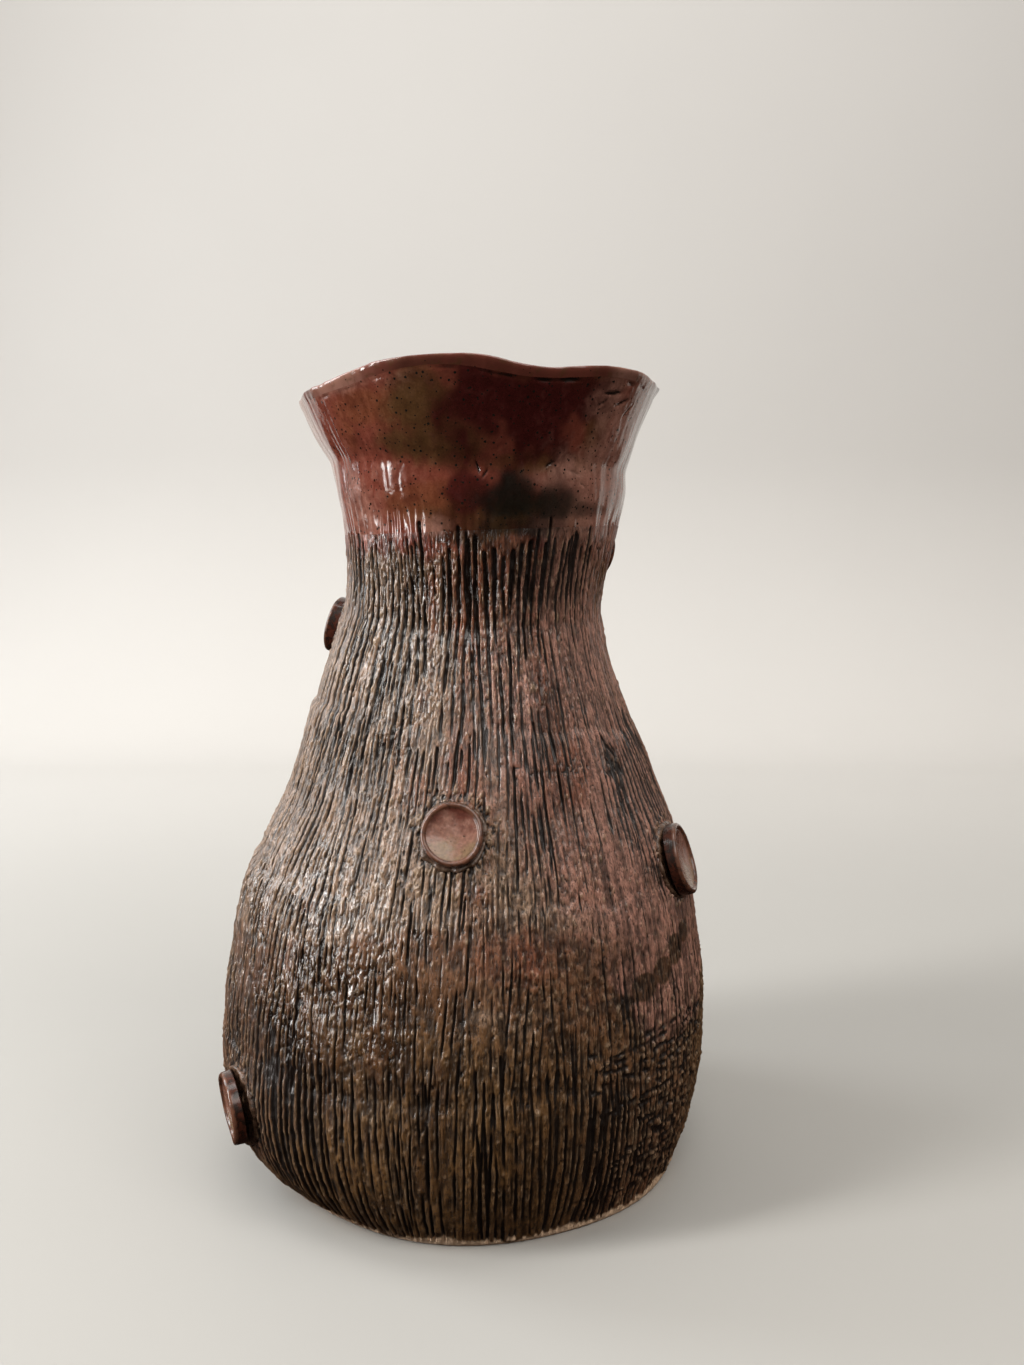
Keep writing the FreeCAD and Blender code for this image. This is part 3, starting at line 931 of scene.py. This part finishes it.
def slip_glaze():
    """The slip round the discs: lumpy, brown, dark in its pits; its darkness is partly painted shadow
    round the disc.
    """
    g = Glaze("slip_glaze")
    fine = g.noise(0.6, 4.0)
    mottle = g.noise(1.8, 4.0, 1.0, 0.5)
    # Dark brown, partly painted shadow where the disc's edge meets the wall.
    colour = g.laid(rgb(50, 34, 25), rgb(98, 72, 56), mottle, 0.35, 0.65)
    colour = g.laid(colour, GROOVE, fine, 0.5, 0.75, 0.7)
    colour = g.mix(g.math("MULTIPLY", g.attribute("crest"), 0.3), colour, TAN)
    roughness = g.ramp(mottle, 0.3, 0.75, 0.2, 0.4)
    normal = g.bump(fine, 0.2, 0.8, g.bump(mottle, 0.4, 0.6))
    return g.finish(colour, roughness, normal, 0.1)


def bare_clay():
    """Unglazed stoneware, seen on the underside: sandy and matte."""
    g = Glaze("bare_clay")
    sand = g.noise(0.5, 3.0)
    mottle = g.noise(7.0, 4.0)
    colour = g.laid(rgb(176, 140, 112), rgb(150, 112, 86), mottle, 0.35, 0.7)
    colour = g.shaded(colour, sand, 0.82, 1.1)
    colour = g.specked(colour, UMBER, 1.8, 0.35, 0.35)
    return g.finish(colour, g.ramp(sand, 0.3, 0.7, 0.75, 0.95), g.bump(sand, 0.12, 0.7))


def inner_glaze():
    """The inside: a brown glaze poured and drained, so its mottling runs upright."""
    g = Glaze("inner_glaze")
    mottle = g.noise(4.0, 4.0, 2.5, 0.5)
    fine = g.noise(0.9, 3.0)
    colour = g.laid(INNER_GLAZE, rgb(92, 62, 40), mottle, 0.35, 0.7)
    colour = g.specked(colour, INK, 2.6, 0.4, 0.5)
    normal = g.bump(fine, 0.06, 0.5, g.bump(mottle, 0.3, 0.4))
    return g.finish(colour, g.ramp(mottle, 0.3, 0.75, 0.2, 0.38), normal, 0.2)


COMBED_GLAZE = combed_glaze()
COLLAR_GLAZE = collar_glaze()
LIP_GLAZE = lip_glaze()
DISC_GLAZE = disc_glaze()
SLIP_GLAZE = slip_glaze()
CLAY = bare_clay()
INNER = inner_glaze()


# ---------------- mesh making
def placed(name, data):
    """A new object in the scene."""
    thing = bpy.data.objects.new(name, data)
    bpy.context.scene.collection.objects.link(thing)
    return thing


def corner_index(points, hubs):
    """Point numbers of a grid's rows, ended by its two hubs, or by its first row again."""
    rows, columns = points.shape[:2]
    index = np.arange(rows * columns).reshape(rows, columns)
    if hubs is None:
        return points.reshape(-1, 3), np.concatenate([index, index[:1]])
    first = np.full((1, columns), rows * columns)
    flat = np.concatenate([points.reshape(-1, 3), hubs])
    return flat, np.concatenate([first, index, first + 1])


def texture_places(flat, index):
    """Texture coordinates of each face corner: strips of the turn laid one above another."""
    rings = flat[index]
    steps = np.linalg.norm(np.diff(rings, axis=0), axis=-1).mean(axis=1)
    along = np.concatenate([[0.0], np.cumsum(steps)])[:, None] / steps.sum() * UV_FILL
    columns = index.shape[1]
    strip, place = np.divmod(np.arange(columns) * UV_STRIPS / columns, 1.0)
    left = np.broadcast_to(place, (len(steps), columns))
    right = left + UV_STRIPS / columns
    low = (strip + along[:-1]) / UV_STRIPS
    high = (strip + along[1:]) / UV_STRIPS
    across = np.stack([left, right, right, left], -1)
    return np.stack([across, np.stack([low, low, high, high], -1)], -1).reshape(-1, 4, 2)


def grid_faces(index, hubs):
    """Corners of each face of a grid, and which of them it keeps: at a hub it has three."""
    after = np.roll(index, -1, axis=1)
    corners = np.stack([index[:-1], after[:-1], after[1:], index[1:]], -1).reshape(-1, 4)
    kept = np.ones(corners.shape, bool)
    if hubs is not None:
        columns = index.shape[1]
        kept[:columns, 1] = kept[-columns:, 3] = False
    return corners, kept


def set_masks(mesh, masks, hubs):
    """Masks written on a mesh's points. A hub takes the mean of the row beside it."""
    for key, values in masks.items():
        if hubs is not None:
            values = np.append(values.ravel(), [values[0].mean(), values[-1].mean()])
        layer = mesh.attributes.new(key, "FLOAT", "POINT")
        layer.data.foreach_set("value", values.astype(np.float32).ravel())


def set_normals(mesh, normals, hubs):
    """Shading normals written on a mesh's points. A hub takes one from the row beside it."""
    directions = normals.reshape(-1, 3)
    if hubs is not None:
        directions = np.concatenate([directions, normals[:1, 0], normals[-1:, 0]])
    mesh.normals_split_custom_set_from_vertices(directions.tolist())


def make_piece(name, points, materials, finishes, node, masks, hubs=None, normals=None):
    """A shaded closed mesh of stacked rings that rides on the vase and stands for a CAD node.

    finishes has the material number of each row of faces. Rows join up, or end in hubs.
    """
    flat, index = corner_index(points, hubs)
    corners, kept = grid_faces(index, hubs)
    mesh = bpy.data.meshes.new(name)
    faces = [face[keep].tolist() for face, keep in zip(corners, kept)]
    mesh.from_pydata((flat * MM).tolist(), [], faces)
    for material in materials:
        mesh.materials.append(material)
    finish = np.repeat(finishes, index.shape[1]).astype(np.int32)
    mesh.polygons.foreach_set("material_index", finish)
    mesh.polygons.foreach_set("use_smooth", np.ones(len(faces), bool))
    places = texture_places(flat, index)[kept]
    mesh.uv_layers.new(name="OFBake").data.foreach_set("uv", places.ravel())
    set_masks(mesh, masks, hubs)
    if normals is not None:
        set_normals(mesh, normals, hubs)
    piece = placed(name, mesh)
    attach(piece, "root")
    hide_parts(node)


def wall_masks(levels, unmarked_below, unmarked_above):
    """The masks at these levels, with rows of nothing before and after them."""
    below, above = np.zeros((unmarked_below, COLUMNS)), np.zeros((unmarked_above, COLUMNS))
    return {
        key: np.concatenate([below, at_levels(field, levels), above])
        for key, field in MASKS.items()
    }


def course_piece(name, bottom, top, bottom_drop, glaze):
    """One course of the wall: its outside going up, then its inside going down."""
    outer_rows = min(int((top - bottom).mean() / ROW_STEP), MOST_ROWS)
    rising = np.linspace(0.0, 1.0, outer_rows + 1)[:, None]
    sinking = np.linspace(1.0, 0.0, INNER_ROWS + 1)[:, None]
    outer_levels = bottom + (top - bottom) * rising
    inner_bottom = bottom - bottom_drop
    inner_levels = inner_bottom + (top - SCARF_DROP - inner_bottom) * sinking
    points = np.concatenate([at_levels(SKIN, outer_levels), at_levels(INSIDE, inner_levels)])
    normals = np.concatenate(
        [at_levels(SKIN_NORMALS, outer_levels), at_levels(INSIDE_NORMALS, inner_levels)]
    )
    outside, inside, joint = [0] * outer_rows, [1] * INNER_ROWS, [2]
    make_piece(
        "glazed_" + name, points, [glaze, INNER, CLAY], outside + joint + inside + joint,
        name, wall_masks(outer_levels, 0, len(inner_levels)), normals=normals,
    )


def base_piece():
    """The slab: combed at its edge like the wall, bare underneath and glazed on its floor."""
    top = SEAMS["base_slab"]
    side_rows = int(top.mean() / ROW_STEP)
    side = np.linspace(0.0, 1.0, side_rows + 1)[:, None] * top
    spread = np.array(FLAT_RINGS)[:, None, None] * [1.0, 1.0, 0.0]
    edge = at_levels(SKIN, side)
    under = edge[:1] * spread
    floor = edge[-1:] * spread[::-1] + [0.0, 0.0, top.mean()]
    points = np.concatenate([under, edge, floor])
    down = np.broadcast_to([0.0, 0.0, -1.0], under.shape)
    up = np.broadcast_to([0.0, 0.0, 1.0], floor.shape)
    normals = np.concatenate([down, at_levels(SKIN_NORMALS, side), up])
    masks = wall_masks(side, len(spread), len(spread))
    below, outside, above = [2] * (len(spread) + 1), [0] * side_rows, [1] * (len(spread) + 1)
    make_piece(
        "foot_slab", points, [COMBED_GLAZE, INNER, CLAY], below + outside + above,
        "base_slab", masks, [[0.0, 0.0, 0.0], [0.0, 0.0, top.mean()]], normals,
    )


def rim_crest():
    """The top of the CAD lip at every column."""
    points = cad_points("lip_coil")
    azimuths = np.degrees(np.arctan2(points[:, 1], points[:, 0]))
    stations = np.arange(LIP_STATIONS) * 360.0 / LIP_STATIONS
    reach = 360.0 / LIP_STATIONS
    tops = []
    for station in stations:
        near = np.abs((azimuths - station + 180.0) % 360.0 - 180.0) < reach
        tops.append(points[near, 2].max())
    return round_the_pot(np.array(tops))


def lip_piece():
    """The rolled lip: an uneven bead along the wavy rim."""
    seat = SEAMS["collar_flare"]
    turns = np.linspace(0.0, math.pi, LIP_ROWS)[:, None]
    outer = at_levels(SKIN, seat[None, :])
    inner = at_levels(INSIDE, seat[None, :] - SCARF_DROP)
    middle, half = (outer + inner) / 2.0, (outer - inner) / 2.0
    rise = rim_crest() - middle[0, :, 2]
    bulk = 1.0 + 0.16 * noise(9.0, 500.0, 50)[0] + 0.1 * noise(2.4, 500.0, 51)[0]
    bulk += 0.9 * np.exp(-(degrees_from(-2.0) / 6.0) ** 2)
    spread = np.cos(turns) * (1.0 + LIP_SWELL * np.sin(turns) * bulk)
    climb = np.sin(turns) ** 0.85 * rise * (0.94 + 0.06 * bulk)
    angles = np.radians(AZIMUTHS)
    lean = np.stack([LIP_LEAN * np.cos(angles), LIP_LEAN * np.sin(angles), np.ones(COLUMNS)], -1)
    points = middle + half * spread[..., None] + lean * climb[..., None]
    outward = half / np.linalg.norm(half, axis=-1, keepdims=True)
    bumps = 0.09 * noise(2.2, 2.0, 52)[:LIP_ROWS] * np.sin(turns)
    points += outward * bumps[..., None]
    masks = {"crest": np.sin(turns) ** 3 * np.ones((1, COLUMNS))}
    # Pale mauve from the collar's rim, on the lip's left a painted highlight.
    pale = at_levels(MASKS["collar_mauve_and_sheen"], seat[None, :])
    masks["collar_mauve_and_sheen"] = np.repeat(pale, LIP_ROWS, axis=0)
    make_piece(
        "rolled_lip", points, [LIP_GLAZE], [0] * LIP_ROWS, "lip_coil", masks,
        normals=raster_normals(points),
    )


class Disc:
    """Where a CAD disc sits: its back's centre, directions, radius and thickness."""

    def __init__(self, name):
        points = cad_points(name)
        middle = (points.min(axis=0) + points.max(axis=0)) / 2.0
        axes = np.linalg.svd(points - points.mean(axis=0), full_matrices=False)[2]
        self.out = axes[2] * np.sign(axes[2] @ (middle * [1.0, 1.0, 0.0]))
        side = np.cross([0.0, 0.0, 1.0], self.out)
        self.side = side / np.linalg.norm(side)
        self.up = np.cross(self.out, self.side)
        away = [(points - middle) @ axis for axis in (self.out, self.side, self.up)]
        self.back = middle + self.out * away[0].min()
        self.thickness = np.ptp(away[0])
        self.radius = (np.ptp(away[1]) + np.ptp(away[2])) / 4.0

    def ring(self, angles, radius, lift):
        """Points round the disc's axis at the given radius and height above its back."""
        across = np.outer(np.cos(angles) * radius, self.side)
        along = np.outer(np.sin(angles) * radius, self.up)
        return self.back + across + along + np.outer(lift * np.ones(len(angles)), self.out)


DISC_ANGLES = np.arange(DISC_SEGMENTS) * 2.0 * math.pi / DISC_SEGMENTS


def wavy(random, sizes):
    """A random closed wave round a disc, given the size of each harmonic from the first on."""
    starts = random.uniform(0.0, 2.0 * math.pi, len(sizes))
    return sum(
        size * np.cos((k + 1) * DISC_ANGLES + start)
        for k, (size, start) in enumerate(zip(sizes, starts))
    )


def disc_rows(radius, thickness):
    """Radius, height and kind of each ring of a disc, from its back to the dish's centre."""
    dish = radius * DISH_SHARE
    rim = (radius - dish) / 2.0
    shoulder = thickness - rim
    rows = [(radius * 0.5, 0.0, "side"), (radius * 0.93, 0.0, "side")]
    for share in np.linspace(0.04, 0.9, 8):
        rows.append((radius * (1.02 - 0.02 * share), shoulder * share, "side"))
    for turn in np.linspace(0.0, 0.92 * math.pi, 12):
        rows.append((radius - rim * (1.0 - math.cos(turn)), shoulder + rim * math.sin(turn), "rim"))
    wall = rows[-1][1]
    depth = thickness * DISH_DEPTH_SHARE
    for share in np.linspace(0.97, 0.03, 18):
        rows.append((dish * share, wall - (depth - rim) * (1.0 - share ** 2.6), "dish"))
    return rows


def disc_piece(name, seed):
    """One pressed disc, a little out of round, with a raised rim and a hollow face."""
    disc = Disc(name)
    random = np.random.default_rng(seed)
    outline = 1.0 + wavy(random, [0.0, 0.016, 0.012, 0.006, 0.005])
    heave = wavy(random, [0.22, 0.16, 0.1, 0.07, 0.05])
    thumb = wavy(random, [0.25, 0.12, 0.08])
    rows = disc_rows(disc.radius, disc.thickness)
    points = []
    for radius, height, kind in rows:
        share = height / disc.thickness
        reach = radius / disc.radius
        dent = thumb * 6.0 * reach ** 2 * (1.0 - reach) * (kind == "dish")
        lift = height + heave * share * reach ** 2 + dent
        points.append(disc.ring(DISC_ANGLES, radius * outline, lift))
    masks = {
        kind: np.repeat([[float(row[2] == kind)] for row in rows], DISC_SEGMENTS, axis=1)
        for kind in ("dish", "side")
    }
    masks["upness"] = np.array([np.sin(DISC_ANGLES) * row[0] / disc.radius for row in rows])
    hubs = [disc.back, disc.back + disc.out * rows[-1][1]]
    make_piece(
        "pressed_" + name, np.array(points), [DISC_GLAZE], [0] * (len(rows) + 1),
        name, masks, hubs,
    )


def on_wall(points, lift):
    """Points moved in or out until they stand lift above the smooth wall."""
    azimuths = np.degrees(np.arctan2(points[:, 1], points[:, 0])) % 360.0
    columns = np.round(azimuths * COLUMNS / 360.0).astype(int) % COLUMNS
    rows = np.round(points[:, 2] / LEVEL_STEP).astype(int).clip(0, len(LEVELS) - 1)
    radius = np.hypot(points[:, 0], points[:, 1])
    scale = ((OUTER + body_form)[rows, columns] + lift) / radius
    return points * np.stack([scale, scale, np.ones(len(points))], -1)


def slip_rows(disc, random):
    """Rings of one collar of slip, from under the wall's face over the slip to under the disc."""
    lump = wavy(random, [0.3, 0.35, 0.3, 0.3, 0.25, 0.25, 0.2, 0.2, 0.2, 0.2, 0.18, 0.18])
    crumb = np.interp(
        np.arange(DISC_SEGMENTS), np.arange(0, DISC_SEGMENTS + 1, 4),
        random.uniform(-0.5, 1.0, DISC_SEGMENTS // 4 + 1),
    )
    reach = 1.2 + 0.8 * lump + 0.35 * crumb
    height = 0.8 + 0.4 * lump + 0.55 * crumb
    sections = [
        (-0.5 * disc.radius, -1.5), (reach, -1.2), (reach, -0.1), (0.86 * reach, 0.5 * height),
        (0.62 * reach, 0.88 * height), (0.36 * reach, height), (0.1 * reach, 0.94 * height),
        (-0.6, 0.8 * height), (-0.5 * disc.radius, 0.2),
    ]
    return np.array([
        on_wall(disc.ring(DISC_ANGLES, disc.radius + out, 0.0), lift) for out, lift in sections
    ])


def slip_piece(name, seed):
    """The collar of wet slip that holds one disc to the wall."""
    disc = Disc(name)
    points = slip_rows(disc, np.random.default_rng(seed))
    crest = np.array([0.0, 0.0, 0.0, 0.3, 0.7, 1.0, 0.6, 0.0, 0.0])[:, None]
    hubs = np.stack([points[0].mean(axis=0), points[-1].mean(axis=0)])
    make_piece(
        "slip_" + name, points, [SLIP_GLAZE], [0] * (len(points) + 1), "slip_pads",
        {"crest": crest * np.ones((1, DISC_SEGMENTS))}, hubs,
    )


base_piece()
for below, course in zip(WALL, COURSES):
    on_collar = course.startswith("collar")
    course_piece(
        course, SEAMS[below], SEAMS[course], 0.0 if below == "base_slab" else SCARF_DROP,
        COLLAR_GLAZE if on_collar else COMBED_GLAZE,
    )
lip_piece()
for number, disc_name in enumerate(DISCS):
    disc_piece(disc_name, SEED + 100 + number)
    slip_piece(disc_name, SEED + 200 + number)


# ---------------- stage, lights and camera
CAMERA_PLACE = (0.01443, -0.4641, 0.2393)  # metres
CAMERA_TILT = 6.77                         # degrees below level
LENS = (31.65, 36.0)                       # focal length and sensor width
STAGE_HALF_WIDTH = 2.6                     # metres


def stage_paper():
    """Matte paper: a little darker under the vase than on the wall behind it."""
    g = Glaze("stage_paper")
    depth = g.node("SeparateXYZ", {"Vector": g.place})["Y"]
    colour = g.laid(rgb(170, 169, 165), rgb(208, 206, 202), depth, 0.1, 0.95)
    shade = g.shaded(colour, g.noise(260.0, 3.0), 0.985, 1.0)
    return g.finish(shade, 0.8, g.bump(g.noise(6.0, 3.0), 0.2, 0.15))


def stage_sheet(name, outline, material):
    """A sheet swept across the stage along an outline of (depth, height) points."""
    points = [(x, y, z) for x in (-STAGE_HALF_WIDTH, STAGE_HALF_WIDTH) for y, z in outline]
    count = len(outline)
    faces = [(k, k + 1, count + k + 1, count + k) for k in range(count - 1)]
    mesh = bpy.data.meshes.new(name)
    mesh.from_pydata(points, [], faces)
    mesh.polygons.foreach_set("use_smooth", [True] * len(faces))
    mesh.materials.append(material)
    sheet = placed(name, mesh)
    return sheet


def set_stage():
    """A pale floor that sweeps up into a pale wall. The vase takes no light from the floor."""
    paper = stage_paper()
    front, back, top, bend = -1.6, 1.15, 2.6, 0.35
    turns = np.linspace(0.0, math.pi / 2.0, 24)
    sweep = [
        (back - bend + bend * math.sin(turn), bend * (1.0 - math.cos(turn))) for turn in turns
    ]
    floor = stage_sheet("stage_floor", [(front, 0.0), sweep[0]], paper)
    floor.visible_glossy = False
    floor.visible_diffuse = False
    stage_sheet("stage_wall", sweep + [(back, top)], paper)


def area_light(name, place, aim, width, height, power, colour):
    """A soft oval light at a place, pointing at a spot, in metres and watts."""
    data = bpy.data.lights.new(name, "AREA")
    data.shape = "ELLIPSE"
    data.size = width
    data.size_y = height
    data.energy = power
    data.color = colour
    light = placed(name, data)
    light.location = place
    light.rotation_euler = (Vector(aim) - Vector(place)).to_track_quat("-Z", "Y").to_euler()
    return light


def set_world():
    """What the glaze mirrors: a dim pale room above, a dark warm table below.

    The camera sees a plain pale grey past the stage's edges instead.
    """
    world = bpy.data.worlds.new("room")
    world.use_nodes = True
    w = NodeWriter(world.node_tree)
    height = w.node("SeparateXYZ", {"Vector": w.coordinates["Generated"]})["Z"]
    room = w.laid(rgb(52, 38, 32), rgb(174, 166, 158), height, -0.1, 0.45)
    mirrored = w.node("Background", {"Color": room, "Strength": 0.55})[0]
    seen = w.node("Background", {"Color": rgb(206, 203, 197)})[0]
    by_ray = w.node("MixShader", {0: w.node("LightPath")["Is Camera Ray"], 1: mirrored, 2: seen})
    w.put(by_ray[0], w.tree.nodes["World Output"].inputs["Surface"])
    bpy.context.scene.world = world


def set_camera():
    """The camera, close to the vase and a little below its rim, at the photo's angle."""
    data = bpy.data.cameras.new("camera")
    data.lens, data.sensor_width = LENS
    camera = placed("camera", data)
    camera.location = CAMERA_PLACE
    camera.rotation_euler = (math.radians(90.0 - CAMERA_TILT), 0.0, 0.0)
    bpy.context.scene.camera = camera


set_stage()
set_world()
set_camera()
area_light("window", (-1.10, -0.42, 0.66), (0.0, 0.0, 0.17), 0.24, 1.9, 24.0, (1.0, 0.98, 0.96))
fill = area_light("fill", (1.05, -0.7, 0.55), (0.0, 0.0, 0.13), 1.2, 1.2, 2.9, (1.0, 0.93, 0.88))
fill.visible_glossy = False
area_light("window_side", (-1.12, 0.4, 0.7), (0.0, 0.0, 0.15), 0.45, 1.3, 8.0, (0.94, 0.97, 1.0))
area_light("ceiling", (0.5, -0.95, 1.4), (0.0, 0.0, 0.15), 1.8, 1.2, 15.5, (1.0, 0.95, 0.9))
area_light("wall_glow", (0.0, 0.1, 2.3), (0.0, 1.15, 0.5), 2.4, 1.0, 22.0, (1.0, 0.99, 0.97))
bpy.context.scene.view_settings.view_transform = "Standard"
